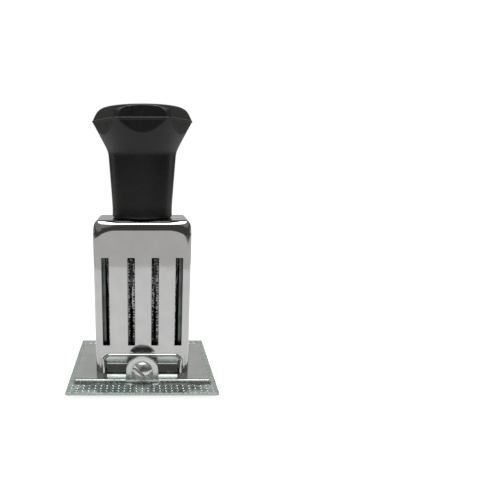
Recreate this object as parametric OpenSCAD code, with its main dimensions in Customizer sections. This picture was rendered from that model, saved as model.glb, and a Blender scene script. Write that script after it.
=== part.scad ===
// Hand date stamp that stands on its type.
// Three belts carry metal type round an anvil, inside a two-half chrome shell on a square die plate.
// The origin is the middle of the printing row, at the type faces.

/* [Die plate] */
// side of the square plate
plate_size = 60; // [54:1:80]
// thickness of the plate
plate_t = 1.2; // [0.8:0.1:1.6]
// height of the plate's underside above the type faces
type_drop = 1.5; // [1:0.1:1.8]
// depth of the window, front to back
window_d = 12.6; // [12.4:0.2:14]
// depth of a weld dimple
dimple_depth = 0.3; // [0.1:0.05:0.4]

/* [Saddle plate] */
// width, side to side
saddle_w = 56; // [50:1:58]
// depth, front to back, over the lugs
saddle_d = 42; // [40:1:48]
// thickness of the sheet
saddle_t = 1.5; // [1:0.1:1.6]
// width of a lug
lug_w = 13.2; // [11:0.1:16]
// height of the lug screws above the type faces
screw_z = 7.6; // [7.5:0.1:8]

/* [Lug screws] */
// diameter of the head
screw_head_d = 8.8; // [7.5:0.1:9.5]
// height of the domed head
screw_head_h = 2.3; // [1.8:0.1:2.8]
// diameter of the shank
screw_d = 4; // [3:0.5:4]
// direction of the slot, from level
screw_slot_turn = 40; // [0:5:90]

/* [Shell] */
// width, side to side
shell_w = 39; // [35:0.2:46]
// depth, front to back
shell_d = 28; // [25:0.2:32]
// height of the shell's top above the type faces
shell_top = 67.3; // [66:0.1:80]
// thickness of the sheet
wall = 0.9; // [0.6:0.1:1]
// radius of the upright edges and of the top's front and rear edges
edge_r = 3.8; // [2.5:0.1:4]
// radius of the top's left and right edges
crown_r = 3.2; // [3:0.1:5]
// width of a slot
slot_w = 2.9; // [2:0.1:3.4]
// lower end of the slots above the type faces
slot_low = 16.3; // [15.5:0.1:24]
// upper end of the slots above the type faces
slot_high = 52.8; // [46:0.1:55]
// distance of the foot opening from the shell's sides
opening_side = 4.7; // [4.5:0.1:7]
// top of the foot opening above the type faces
opening_top = 11; // [11:0.1:12]
// width of the raised rim round the foot opening
rim_w = 1.5; // [1:0.1:1.8]
// how far the rim stands out
rim_out = 0.9; // [0.5:0.1:1.2]
// top of the stepped foot of the wall above the type faces
step_top = 13.9; // [13.6:0.1:15]
// how far the stepped foot stands out
step_out = 0.4; // [0.2:0.05:0.5]

/* [Belts and type] */
// how much wider the years' belt is than the months', and the months' than the days'
belt_step = 0.4; // [0:0.05:0.8]
// thickness of a belt
belt_t = 0.7; // [0.5:0.05:0.8]
// height of the type on its belt
type_h = 0.9; // [0.6:0.05:1]
// belt left bare at each side of the type
type_margin = 0.7; // [0.5:0.1:1.2]

/* [Rollers] */
// diameter of the axle
axle_d = 5; // [3:0.5:6]
// room between the setting discs and the shell's wall
disc_room = 0.9; // [0.7:0.1:1.2]
// thickness of a setting disc
disc_t = 0.4; // [0.3:0.05:0.5]
// teeth on a setting disc
disc_teeth = 44; // [24:1:60]
// thickness of the frame's cheeks
cheek_t = 1.5; // [1.2:0.1:1.8]

/* [Handle] */
// radius of the foot on the shell
foot_r = 12.5; // [11.6:0.1:13]
// radius of the narrowest place of the neck
waist_r = 12.15; // [11:0.05:12.5]
// height of the narrowest place above the shell
waist_rise = 4; // [2:0.1:8]
// radius of the neck's top, where the flare begins
neck_r = 13.4; // [12.4:0.1:14.4]
// height of the neck's top above the shell
neck_rise = 24; // [18:0.1:25]
// how far the head's corners stand out past the shell's sides
head_over = 0.1; // [-1:0.1:4]
// height of the handle
handle_h = 42.7; // [40:0.1:60]
// height of the head's dome above the rim
dome_h = 5.6; // [4:0.1:8]

/* [Hidden] */

fine = 64;
eps = 0.01;
over = 1;
seat = 0.02;
run_fit = 0.04;
plate_top = type_drop + plate_t;
saddle_top = plate_top + saddle_t;

// frame: the cheeks stand clear of the shell's sides, the straps clear of its front and rear
frame_room = 2.2;
cheek_half = shell_w / 2 - wall - frame_room;
inner_half = cheek_half - cheek_t;
inner_w = 2 * inner_half;
strap_t = 1;
strap_room = 0.2;
strap_out = shell_d / 2 - wall - strap_room;
strap_in = strap_out - strap_t;
strap_low = 8;
strap_high = 14;
strap_mid = (strap_low + strap_high) / 2;
tenon_h = 3.6;
bridge_t = 1.2;
bridge_top = shell_top - wall;
bridge_room = 0.3;
bridge_half = shell_d / 2 - wall - edge_r - bridge_room;
bend_r = 2.4;
cheek_room = 2.3;
cheek_body_half = shell_d / 2 - wall - cheek_room;
nose_room = 0.9;
nose_half = window_d / 2 - nose_room;
nose_low = 0.35;
nose_r = 2.4;
ear_low = 6;
window_room = 0.4;
window_w = 2 * (cheek_half + window_room);

// belts: links of one length round a fourteen-sided top and a narrow nose
sides = 14;
half_turn = 180 / sides;
nose_links = 3;
type_room = 0.75;
belt_half = strap_in - type_room - type_h - belt_t;
pitch = 2 * belt_half * sin(half_turn);
nose_angle = acos((belt_half - pitch / 2) / (nose_links * pitch));
nose_rise = nose_links * pitch * sin(nose_angle);
belt_apothem = pitch / (2 * tan(half_turn));
belt_low = belt_t + type_h;
disc_r = shell_d / 2 - wall - disc_room;
top_room = 1.5;
run_room = bridge_top - bridge_t - top_room - disc_r - belt_low - nose_rise;
run_links = floor(run_room / pitch);
axle_z = belt_low + nose_rise + run_links * pitch;
top_links = (sides / 2 - 1) / 2;
up_turns = concat(
  [for (k = [1 : nose_links]) nose_angle],
  [for (k = [1 : run_links]) 90],
  [for (k = [1 : top_links]) 90 + (2 * k - 1) * half_turn]
);
turns = concat([0], up_turns, [180], [for (k = [len(up_turns) - 1 : -1 : 0]) 360 - up_turns[k]]);
links = len(turns);
function along(a) = [cos(a), sin(a)];
function outward(a) = [sin(a), -cos(a)];
function walk(i) = i == 0 ? [-pitch / 2, belt_low] : walk(i - 1) + pitch * along(turns[i - 1]);
corners = [for (i = [0 : links - 1]) walk(i)];
function turn_before(i) = i == 0 ? turns[links - 1] - 360 : turns[i - 1];
function turn_at(i) = (turns[i] + turn_before(i)) / 2;
function mitre(i) = outward(turn_at(i)) / cos((turns[i] - turn_before(i)) / 2);
outer_corners = [for (i = [0 : links - 1]) corners[i] + belt_t * mitre(i)];
link_mids = [for (i = [0 : links - 1]) corners[i] + pitch / 2 * along(turns[i])];

// places of the belts, side to side
belt_gap = 0.1;
side_gap = 0.15;
cheek_gap = 0.65;
pair_gap = 2 * (disc_t + belt_gap);
month_belt_w = (inner_w - 3 * pair_gap - 2 * side_gap - 2 * cheek_gap) / 3;
year_belt_w = month_belt_w + belt_step;
day_belt_w = month_belt_w - belt_step;
year_x = -inner_half + cheek_gap + pair_gap / 2;
month_x = year_x + year_belt_w + pair_gap + side_gap;
day_x = month_x + month_belt_w + pair_gap + side_gap;
outer_slot_in = 0.2;
slot_places = [
  -inner_half + outer_slot_in,
  month_x - (pair_gap + side_gap) / 2,
  day_x - (pair_gap + side_gap) / 2,
  inner_half - outer_slot_in
];

module round_rect(w, d, r) {
  square([w - 2 * r, d], center = true);
  square([w, d - 2 * r], center = true);
  for (sx = [-1, 1]) {
    for (sy = [-1, 1]) {
      translate([sx * (w / 2 - r), sy * (d / 2 - r)]) circle(r = r, $fn = fine);
    }
  }
}

// upright outline with a level foot and round upper corners
module arch(w, low, high, r) {
  intersection() {
    union() {
      translate([-w / 2, low]) square([w, high - r - low]);
      translate([-w / 2 + r, low]) square([w - 2 * r, high - low]);
      for (s = [-1, 1]) {
        translate([s * (w / 2 - r), high - r]) circle(r = r, $fn = fine);
      }
    }
    translate([-w, low]) square([2 * w, 2 * high]);
  }
}

// a drawing of y and z, given its length along x from x0
module along_x(x0, length) {
  translate([x0, 0, 0]) rotate([90, 0, 90]) linear_extrude(height = length) children();
}

// a drawing of x and z, given its depth from y0 to y1
module along_y(y0, y1) {
  translate([0, y1, 0]) rotate([90, 0, 0]) linear_extrude(height = y1 - y0) children();
}

module bar_y(d, y0, y1, z) {
  translate([0, y0, z]) rotate([-90, 0, 0]) cylinder(d = d, h = y1 - y0, $fn = fine);
}

module bar_x(d, x0, x1, y, z) {
  translate([x0, y, z]) rotate([0, 90, 0]) cylinder(d = d, h = x1 - x0, $fn = fine);
}

dimple_r = 1.6;
dimple_x = 15;
dimple_y = 18.5;
dimple_mid_y = 12;
dimple_places = [
  [-dimple_x, -dimple_y], [dimple_x, -dimple_y], [0, -dimple_mid_y],
  [0, dimple_mid_y], [-dimple_x, dimple_y], [dimple_x, dimple_y]
];
plate_corner_r = 0.3;
window_r = 1;

module die_plate() {
  color("gainsboro")
  difference() {
    translate([0, 0, type_drop]) linear_extrude(height = plate_t)
      round_rect(plate_size, plate_size, plate_corner_r);
    translate([0, 0, type_drop - over]) linear_extrude(height = plate_t + 2 * over)
      round_rect(window_w, window_d, window_r);
    for (p = dimple_places) {
      translate([p[0], p[1], type_drop - dimple_r + dimple_depth]) sphere(r = dimple_r, $fn = fine);
    }
  }
}

saddle_corner_r = 1;
saddle_window_d = 16;
saddle_window_room = 0.5;
saddle_window_r = 2;
lug_hole_room = 0.2;

module lug() {
  difference() {
    along_y(-saddle_d / 2, -saddle_d / 2 + saddle_t)
      arch(lug_w, plate_top, screw_z + lug_w / 2, lug_w / 2 - eps);
    bar_y(screw_d + 2 * lug_hole_room, -saddle_d / 2 - over, -saddle_d / 2 + saddle_t + over, screw_z);
  }
}

module saddle_plate() {
  color("silver")
  union() {
    difference() {
      translate([0, 0, plate_top]) linear_extrude(height = saddle_t)
        round_rect(saddle_w, saddle_d, saddle_corner_r);
      translate([0, 0, plate_top - over]) linear_extrude(height = saddle_t + 2 * over)
        round_rect(window_w + 2 * saddle_window_room, saddle_window_d, saddle_window_r);
    }
    lug();
    rotate([0, 0, 180]) lug();
  }
}

slot_depth = 1.6;
slot_width = 1.2;
head_edge = 0.5;
screw_reach = 1.5;
screw_end = -strap_out - screw_reach;

module lug_screw() {
  head_r = screw_head_d / 2;
  face = -saddle_d / 2;
  head_rise = screw_head_h - head_edge;
  dome_r = (head_r * head_r + head_rise * head_rise) / (2 * head_rise);
  difference() {
    translate([0, face, screw_z]) rotate([90, 0, 0]) rotate_extrude($fn = fine) union() {
      intersection() {
        translate([0, screw_head_h - dome_r]) circle(r = dome_r, $fn = fine);
        square([head_r, screw_head_h]);
      }
      translate([0, face - screw_end]) square([screw_d / 2, screw_end - face + eps]);
    }
    translate([0, face - screw_head_h, screw_z]) rotate([0, screw_slot_turn, 0])
      cube([2 * screw_head_d, 2 * slot_depth, slot_width], center = true);
  }
}

module lug_screws() {
  color("lightgray")
  union() {
    lug_screw();
    rotate([0, 0, 180]) lug_screw();
  }
}

standoff_d = 6.2;
spigot_d = 5;
bore_over = 0.3;

module standoff() {
  difference() {
    union() {
      bar_y(standoff_d, -saddle_d / 2 + saddle_t, -strap_out, screw_z);
      bar_y(spigot_d, -strap_out - eps, -strap_out + strap_t, screw_z);
    }
    bar_y(screw_d + 2 * seat, -saddle_d / 2, screw_end + bore_over, screw_z);
  }
}

module standoffs() {
  color("darkgray")
  union() {
    standoff();
    rotate([0, 0, 180]) standoff();
  }
}

// outline of the shell, drawn in by an amount
module shell_form(inset, low) {
  w = shell_w - 2 * inset;
  d = shell_d - 2 * inset;
  high = shell_top - inset;
  intersection() {
    translate([0, 0, low]) linear_extrude(height = high - low) round_rect(w, d, edge_r - inset);
    along_y(-shell_d, shell_d) arch(w, low - over, high, crown_r - inset);
    along_x(-shell_w, 2 * shell_w) arch(d, low - over, high, edge_r - inset);
  }
}

stud_hole_d = 6.6;
seam_gap = 0.1;
opening_r = 1.8;
opening_half = shell_w / 2 - opening_side;
step_side = 1.5;
step_r = 1;

module shell_half() {
  difference() {
    union() {
      intersection() {
        difference() {
          shell_form(0, saddle_top);
          shell_form(wall, saddle_top - over);
        }
        translate([-shell_w, -shell_d, 0]) cube([2 * shell_w, shell_d - seam_gap / 2, 2 * shell_top]);
      }
      intersection() {
        difference() {
          shell_form(-step_out, saddle_top);
          shell_form(wall / 2, saddle_top - over);
        }
        along_y(-shell_d, -shell_d / 2 + edge_r)
          arch(shell_w - 2 * step_side, saddle_top, step_top, step_r);
      }
      along_y(-shell_d / 2 - rim_out, -shell_d / 2 + wall)
        arch(2 * (opening_half + rim_w), saddle_top, opening_top + rim_w, opening_r + rim_w);
    }
    along_y(-shell_d, -shell_d / 2 + 2 * wall)
      arch(2 * opening_half, saddle_top - over, opening_top, opening_r);
    translate([0, 0, shell_top - 2 * wall]) cylinder(d = stud_hole_d, h = 4 * wall, $fn = fine);
  }
}

slot_end_r = 0.7;

module slots() {
  for (x = slot_places) {
    translate([x, 0, 0]) along_y(-shell_d, -shell_d / 2 + 2 * wall)
      translate([0, (slot_low + slot_high) / 2]) round_rect(slot_w, slot_high - slot_low, slot_end_r);
  }
}

tab_h = 4;
tab_out = 2;
tab_room = 0.25;
tab_places = [35, 57];

// tabs of the rear half that lie in notches of the front one
module seam_tabs(room) {
  for (s = [-1, 1]) {
    for (z = tab_places) {
      translate([s * (shell_w / 2 - wall / 2), -tab_out / 2 - room + wall / 2, z])
        cube([wall + 4 * room, tab_out + 2 * room + wall, tab_h + 2 * room], center = true);
    }
  }
}

module front_shell() {
  color("lightsteelblue")
  difference() {
    shell_half();
    slots();
    seam_tabs(tab_room);
  }
}

module rear_shell() {
  color("lightsteelblue")
  union() {
    mirror([0, 1, 0]) shell_half();
    seam_tabs(0);
  }
}

module cheek_outline() {
  body_top = bridge_top - edge_r;
  translate([-nose_half, nose_low + nose_r]) square([2 * nose_half, strap_high - nose_low - nose_r]);
  translate([-nose_half + nose_r, nose_low]) square([2 * (nose_half - nose_r), nose_r + over]);
  for (s = [-1, 1]) {
    translate([s * (nose_half - nose_r), nose_low + nose_r]) circle(r = nose_r, $fn = fine);
  }
  translate([-strap_out, ear_low]) square([2 * strap_out, strap_high - ear_low]);
  translate([-cheek_body_half, strap_high - over]) square([2 * cheek_body_half, body_top - strap_high + over]);
  translate([-bridge_half, strap_high]) square([2 * bridge_half, bridge_top - strap_high]);
}

rod_d = 3;
rod_y = 3.4;
rod_z = 7.4;

// one strip bent to two cheeks and the bridge between them
module band_frame() {
  color("darkseagreen")
  difference() {
    intersection() {
      union() {
        along_x(-cheek_half, cheek_t) cheek_outline();
        along_x(inner_half, cheek_t) cheek_outline();
        translate([-cheek_half, -bridge_half, bridge_top - bridge_t])
          cube([2 * cheek_half, 2 * bridge_half, bridge_t]);
      }
      along_y(-shell_d, shell_d) arch(2 * cheek_half, 0, bridge_top, bend_r);
    }
    bar_x(axle_d + 2 * seat, -shell_w, shell_w, 0, axle_z);
    for (s = [-1, 1]) {
      bar_x(rod_d + 2 * seat, -shell_w, shell_w, s * rod_y, rod_z);
      translate([0, s * (strap_out - strap_t / 2), strap_mid])
        cube([2 * shell_w, strap_t + 2 * seat, tenon_h + 2 * seat], center = true);
    }
    translate([0, 0, bridge_top - 2 * bridge_t]) cylinder(d = stud_d + 2 * seat, h = 3 * bridge_t, $fn = fine);
  }
}

strap_tab_w = 12;
strap_tab_low = 4.5;

module strap() {
  difference() {
    union() {
      translate([-inner_half, -strap_out, strap_low]) cube([inner_w, strap_t, strap_high - strap_low]);
      translate([-strap_tab_w / 2, -strap_out, strap_tab_low])
        cube([strap_tab_w, strap_t, strap_high - strap_tab_low]);
      translate([-cheek_half, -strap_out, strap_mid - tenon_h / 2]) cube([2 * cheek_half, strap_t, tenon_h]);
    }
    bar_y(spigot_d + 2 * seat, -shell_d, 0, screw_z);
  }
}

module front_strap() {
  color("darkseagreen") strap();
}

module rear_strap() {
  color("darkseagreen") rotate([0, 0, 180]) strap();
}

anvil_high = 10;

module anvil_bar() {
  half_low = pitch / 2;
  half_high = half_low + (anvil_high - belt_low) / tan(nose_angle);
  color("gray")
  difference() {
    along_x(-inner_half, inner_w)
      polygon([[-half_low, belt_low], [half_low, belt_low], [half_high, anvil_high], [-half_high, anvil_high]]);
    for (s = [-1, 1]) {
      bar_x(rod_d + 2 * seat, -shell_w, shell_w, s * rod_y, rod_z);
    }
  }
}

module anvil_rods() {
  color("darkgray")
  union() {
    for (s = [-1, 1]) {
      bar_x(rod_d, -cheek_half, cheek_half, s * rod_y, rod_z);
    }
  }
}

ring_t = 0.6;
ring_d = 9;
axle_over = 1.2;

module roller_axle() {
  color("silver") bar_x(axle_d, -cheek_half - axle_over, cheek_half + axle_over, 0, axle_z);
}

module axle_rings() {
  color("dimgray")
  for (s = [-1, 1]) {
    mid = s * (cheek_half + ring_t / 2);
    difference() {
      bar_x(ring_d, mid - ring_t / 2, mid + ring_t / 2, 0, axle_z);
      bar_x(axle_d + 2 * seat, -shell_w, shell_w, 0, axle_z);
    }
  }
}

roller_gap = 0.25;

module roller(x, w) {
  r = belt_apothem - roller_gap;
  difference() {
    translate([0, 0, axle_z]) along_x(x - belt_gap, w + 2 * belt_gap)
      polygon([for (k = [0 : sides - 1]) r * along((2 * k + 1) * half_turn - 90)]);
    bar_x(axle_d + 2 * run_fit, -shell_w, shell_w, 0, axle_z);
  }
}

tooth_depth = 0.6;

module disc(x) {
  step = 360 / disc_teeth;
  difference() {
    translate([0, 0, axle_z]) along_x(x, disc_t)
      polygon([for (k = [0 : 2 * disc_teeth - 1]) (disc_r - (k % 2) * tooth_depth) * along(k * step / 2)]);
    bar_x(axle_d + 2 * run_fit, -shell_w, shell_w, 0, axle_z);
  }
}

module discs(x, w) {
  disc(x - belt_gap - disc_t);
  disc(x + w + belt_gap);
}

notch_w = 0.5;
notch_l = 0.5;

module belt(x, w) {
  difference() {
    along_x(x, w) difference() {
      polygon(outer_corners);
      polygon(corners);
    }
    for (i = [0 : links - 1]) {
      for (s = [x, x + w]) {
        translate([s, corners[i][0], corners[i][1]]) rotate([turn_at(i), 0, 0])
          cube([2 * notch_w, notch_l, 4 * belt_t], center = true);
      }
    }
  }
}

type_foot_gap = 0.45;
type_face_gap = 0.85;
type_foot = pitch - type_foot_gap;
type_face = pitch - type_face_gap;

module type_row(x, w) {
  for (i = [0 : links - 1]) {
    translate([0, link_mids[i][0], link_mids[i][1]]) rotate([turns[i], 0, 0]) translate([0, 0, -belt_t])
      along_x(x + type_margin, w - 2 * type_margin) polygon([
        [-type_foot / 2, 0], [-type_face / 2, -type_h], [type_face / 2, -type_h], [type_foot / 2, 0]
      ]);
  }
}

module day_roller() {
  color("tan") roller(day_x, day_belt_w);
}

module day_discs() {
  color("silver") discs(day_x, day_belt_w);
}

module day_belt() {
  color("dimgray") belt(day_x, day_belt_w);
}

module day_type() {
  color("lightgray") type_row(day_x, day_belt_w);
}

module month_roller() {
  color("tan") roller(month_x, month_belt_w);
}

module month_discs() {
  color("silver") discs(month_x, month_belt_w);
}

module month_belt() {
  color("dimgray") belt(month_x, month_belt_w);
}

module month_type() {
  color("lightgray") type_row(month_x, month_belt_w);
}

module year_roller() {
  color("tan") roller(year_x, year_belt_w);
}

module year_discs() {
  color("silver") discs(year_x, year_belt_w);
}

module year_belt() {
  color("dimgray") belt(year_x, year_belt_w);
}

module year_type() {
  color("lightgray") type_row(year_x, year_belt_w);
}

stud_d = 6;
stud_flange_d = 9;
stud_flange_t = 1;
stud_short = 2;
insert_d = 10;
insert_l = 15;
corner_r = shell_w / 2 + head_over;
rim_z = shell_top + handle_h - dome_h;
waist_z = shell_top + waist_rise;
neck_z = shell_top + neck_rise;

// the flare leaves the neck in a soft bend and runs straight to the rim
flare_start = 0.12;
flare_soft = 0.12;
flare_steps = 14;
function hinge(t) = (t - flare_start + sqrt(pow(t - flare_start, 2) + pow(flare_soft, 2))) / 2;
function swell(t) = (hinge(t) - hinge(0)) / (hinge(1) - hinge(0));
function flare(t) = [neck_r + (corner_r - neck_r) * swell(t), neck_z + (rim_z - neck_z) * t];

// the dome falls from the flat top over a round shoulder, then leans out to the rim
dome_power = 5.4;
dome_lean = 0.149;
dome_steps = 12;
function dome_rise(k) = 1 - pow(1 - k / dome_steps, 2);
function dome_reach(s) = corner_r * (1 - dome_lean * s) * pow(1 - pow(s, dome_power), 1 / dome_power);
function dome(k) = [dome_reach(dome_rise(k)), rim_z + dome_h * dome_rise(k)];

// six flats cut the head, each in two planes that meet at the rim
flats = 6;
flat_tilt_low = 5;
flat_tilt_high = 8;
corner_round = 0.3;
flat_r = (corner_r + corner_round) * cos(180 / flats);

module handle() {
  color([0.12, 0.12, 0.12])
  difference() {
    rotate_extrude($fn = fine) polygon(concat(
      [[0, shell_top], [foot_r, shell_top], [waist_r, waist_z]],
      [for (k = [0 : flare_steps]) flare(k / flare_steps)],
      [for (k = [1 : dome_steps]) dome(k)]
    ));
    for (k = [0 : flats - 1]) {
      rotate([0, 0, (k + 0.5) * 360 / flats]) translate([flat_r, 0, rim_z]) {
        rotate([0, flat_tilt_low, 0]) translate([0, -corner_r, -corner_r]) cube(2 * corner_r);
        rotate([0, -flat_tilt_high, 0]) translate([0, -corner_r, -corner_r]) cube(2 * corner_r);
      }
    }
    translate([0, 0, shell_top - over]) cylinder(d = insert_d + 2 * seat, h = insert_l + over, $fn = fine);
  }
}

module handle_insert() {
  color("goldenrod")
  difference() {
    translate([0, 0, shell_top]) cylinder(d = insert_d, h = insert_l, $fn = fine);
    translate([0, 0, shell_top - over]) cylinder(d = stud_d + 2 * seat, h = insert_l + 2 * over, $fn = fine);
  }
}

module handle_stud() {
  bridge_low = bridge_top - bridge_t;
  color("silver")
  union() {
    translate([0, 0, bridge_low - stud_flange_t]) cylinder(d = stud_flange_d, h = stud_flange_t, $fn = fine);
    translate([0, 0, bridge_low - eps])
      cylinder(d = stud_d, h = bridge_t + wall + insert_l - stud_short, $fn = fine);
  }
}

die_plate();
saddle_plate();
lug_screws();
standoffs();
front_shell();
rear_shell();
band_frame();
front_strap();
rear_strap();
anvil_bar();
anvil_rods();
roller_axle();
axle_rings();
day_roller();
day_discs();
day_belt();
day_type();
month_roller();
month_discs();
month_belt();
month_type();
year_roller();
year_discs();
year_belt();
year_type();
handle();
handle_insert();
handle_stud();
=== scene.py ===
# Hand date stamp: chrome shell, black handle, zinc plates and belts of metal type
import bpy
import math
import numpy as np
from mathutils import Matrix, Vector
from mathutils.geometry import delaunay_2d_cdt


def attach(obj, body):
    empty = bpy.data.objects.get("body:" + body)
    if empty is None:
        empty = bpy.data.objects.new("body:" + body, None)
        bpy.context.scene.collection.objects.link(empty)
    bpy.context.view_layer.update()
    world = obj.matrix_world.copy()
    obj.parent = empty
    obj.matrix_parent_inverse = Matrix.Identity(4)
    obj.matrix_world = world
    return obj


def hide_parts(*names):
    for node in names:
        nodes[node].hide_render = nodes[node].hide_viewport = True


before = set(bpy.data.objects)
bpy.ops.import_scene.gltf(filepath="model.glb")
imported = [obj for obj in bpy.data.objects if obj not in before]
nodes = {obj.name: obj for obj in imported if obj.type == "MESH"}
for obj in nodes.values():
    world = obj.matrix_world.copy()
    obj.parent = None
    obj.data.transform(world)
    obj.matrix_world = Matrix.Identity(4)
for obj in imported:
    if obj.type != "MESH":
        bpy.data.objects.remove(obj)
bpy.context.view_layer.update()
mm = 0.001
tiny = 1e-9  # keeps a division away from nought
print("frame loaded:", len(nodes), "nodes")


# meshes: all sizes below are in millimetres

def meshObject(name, points, faces, material, sharpAngle=35, normals=None):
    # points and faces become one smooth mesh; given normals are kept, otherwise steep edges stay sharp
    mesh = bpy.data.meshes.new(name)
    mesh.from_pydata(np.asarray(points, float).reshape(-1, 3) * mm, [], [list(f) for f in faces])
    mesh.polygons.foreach_set("use_smooth", np.ones(len(mesh.polygons), bool))
    if normals is None:
        mesh.set_sharp_from_angle(angle=math.radians(sharpAngle))
    else:
        mesh.normals_split_custom_set_from_vertices(normals.tolist())
    mesh.materials.append(material)
    mesh.update()
    obj = bpy.data.objects.new(name, mesh)
    bpy.context.scene.collection.objects.link(obj)
    return obj


def place(obj, body, slot, *replaced):
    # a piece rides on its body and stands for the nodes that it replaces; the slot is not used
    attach(obj, body)
    if replaced:
        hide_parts(*replaced)
    return obj


def partWay(start, end, share):
    # from start to end by a share
    return start + (end - start) * share


def joined(*parts):
    # several lots of points and faces as one
    points, faces, start = [], [], 0
    for somePoints, someFaces in parts:
        points.append(np.asarray(somePoints, float).reshape(-1, 3))
        faces += [[i + start for i in f] for f in someFaces]
        start += len(points[-1])
    return np.concatenate(points), faces


def gridFaces(rows, cols):
    # quads of a grid that closes on itself along its rows
    r = np.arange(rows - 1)[:, None]
    c = np.arange(cols)[None, :]
    d = (c + 1) % cols
    return np.stack([r * cols + c, r * cols + d, (r + 1) * cols + d, (r + 1) * cols + c], -1).reshape(-1, 4)


def boxDistance(u, v, cu, cv, halfU, halfV, r):
    # distance outside a round-cornered box, negative inside it
    qu = np.abs(u - cu) - halfU + r
    qv = np.abs(v - cv) - halfV + r
    return np.hypot(np.maximum(qu, 0), np.maximum(qv, 0)) + np.minimum(np.maximum(qu, qv), 0) - r


def boxPath(cu, cv, halfU, halfV, r, steps=7):
    # outline of a round-cornered box, anticlockwise
    a = np.linspace(0, math.pi / 2, steps)
    corner = np.stack([np.cos(a), np.sin(a)], -1) * r
    near = np.array([halfU - r, halfV - r])
    path = [corner + near, (corner * [-1, 1])[::-1] + near * [-1, 1],
            corner * -1 - near, (corner * [1, -1])[::-1] + near * [1, -1]]
    return np.concatenate(path) + [cu, cv]


def circlePath(cu, cv, r, steps):
    # points of a circle, anticlockwise
    a = np.linspace(0, 2 * math.pi, steps, endpoint=False)
    return np.stack([cu + r * np.cos(a), cv + r * np.sin(a)], -1)


def straight(u0, v0, u1, v1):
    # a line by its two ends
    return np.array([(u0, v0), (u1, v1)])


def sharpBox(u0, v0, u1, v1):
    # a square-cornered box by its lowest and highest corner, anticlockwise
    return np.array([(u0, v0), (u1, v0), (u1, v1), (u0, v1)])


def insideOutline(u, v, path):
    # odd number of outline edges to the right of the point
    x0, y0 = path[:, 0], path[:, 1]
    x1, y1 = np.roll(x0, -1), np.roll(y0, -1)
    crosses = (y0[None] > v[:, None]) != (y1[None] > v[:, None])
    rise = np.where(y1 == y0, tiny, y1 - y0)
    at = x0 + (v[:, None] - y0) * (x1 - x0) / rise
    return ((crosses & (u[:, None] < at)).sum(1) % 2) == 1


def cutBlank(loops, lines, keep, joinGap=1e-4):
    # triangles between all drawn loops and lines, without those that the keep test drops
    edges, start = [], 0
    for i, path in enumerate(loops + lines):
        ends = start + np.arange(len(path))
        pairs = np.stack([ends, np.roll(ends, -1)], -1).tolist()
        edges += pairs if i < len(loops) else pairs[:-1]
        start += len(path)
    points = [Vector(p) for p in np.concatenate(loops + lines)]
    done = delaunay_2d_cdt(points, edges, [], 0, joinGap)
    flat = np.array([tuple(p) for p in done[0]])
    tris = np.array(done[2])
    mid = flat[tris].mean(1)
    tris = tris[keep(mid[:, 0], mid[:, 1])]
    used, tris = np.unique(tris, return_inverse=True)
    return flat[used], tris.reshape(-1, 3)


def windowBlank(size, outer, dents):
    # a blank inside an outline, with a round-cornered window in its middle
    window = dict(cu=0, cv=0, halfU=size["windowHalfX"], halfV=size["windowHalfY"], r=size["windowCorner"])
    return cutBlank([outer, boxPath(**window), *dents], [], lambda u, v: boxDistance(u, v, **window) > 0)


def drilledBlank(outer, lines, middle, hole, sides):
    # a blank inside an outline, with a round hole at a height
    return cutBlank([outer, circlePath(0, middle, hole, sides)], lines,
                    lambda u, v: insideOutline(u, v, outer) & (np.hypot(u, v - middle) > hole))


def openEdges(tris):
    # edges of one triangle only, with the sheet on their left
    edges = np.concatenate([tris[:, [0, 1]], tris[:, [1, 2]], tris[:, [2, 0]]])
    key = edges.min(1) * (tris.max() + 1) + edges.max(1)
    first, count = np.unique(key, return_index=True, return_counts=True)[1:]
    return edges[first[count == 1]]


def unit(w):
    # each row at length one
    return w / np.maximum(np.linalg.norm(w, axis=1, keepdims=True), tiny)


bendSize = dict(step=0.02, mitre=0.9, closed=1e-6)


def bentSheet(flat, tris, surface, thick, ease, easeUnder=None):
    # a blank bent by the surface function, with its thickness below it and its edges eased round
    easeUnder = ease if easeUnder is None else easeUnder
    rim = openEdges(tris)
    run = unit(flat[rim[:, 1]] - flat[rim[:, 0]])
    left = np.stack([-run[:, 1], run[:, 0]], -1)
    inward = np.zeros_like(flat)
    np.add.at(inward, rim[:, 0], left)
    np.add.at(inward, rim[:, 1], left)
    inward *= 2 / np.maximum((inward ** 2).sum(1, keepdims=True), bendSize["mitre"])
    step = bendSize["step"]

    def shaped(uv):
        # the bent place, and the directions square to the sheet, along u and along v
        u, v = uv[:, 0], uv[:, 1]
        alongU = surface(u + step, v) - surface(u - step, v)
        alongV = surface(u, v + step) - surface(u, v - step)
        square = np.cross(alongU, alongV)
        spans = np.linalg.norm(square, axis=1, keepdims=True) > bendSize["closed"]
        square = np.where(spans, square, [0, 0, 1])  # upright where the blank closes to a point
        return surface(u, v), unit(square), unit(alongU), unit(alongV)

    top, topN = shaped(flat + ease * inward)[:2]
    under, underN = shaped(flat + easeUnder * inward)[:2]
    edge, edgeN, alongU, alongV = shaped(flat)
    out = unit(-(alongU * inward[:, :1] + alongV * inward[:, 1:]))
    onRim, rim = np.unique(rim, return_inverse=True)
    rim = rim.reshape(-1, 2)
    count, rimCount = len(flat), len(onRim)
    points = np.concatenate([top, under - thick * underN, (edge - ease * edgeN)[onRim],
                             (edge - (thick - easeUnder) * edgeN)[onRim]])
    normals = np.concatenate([topN, -underN, out[onRim], out[onRim]])
    a, b = rim[:, 0], rim[:, 1]
    upper = 2 * count + np.arange(rimCount)
    rows = [onRim, upper, upper + rimCount, count + onRim]
    sides = [np.stack([up[b], up[a], low[a], low[b]], -1) for up, low in zip(rows, rows[1:])]
    faces = tris.tolist() + (tris[:, ::-1] + count).tolist() + np.concatenate(sides).tolist()
    return points, faces, normals


# materials

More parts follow.
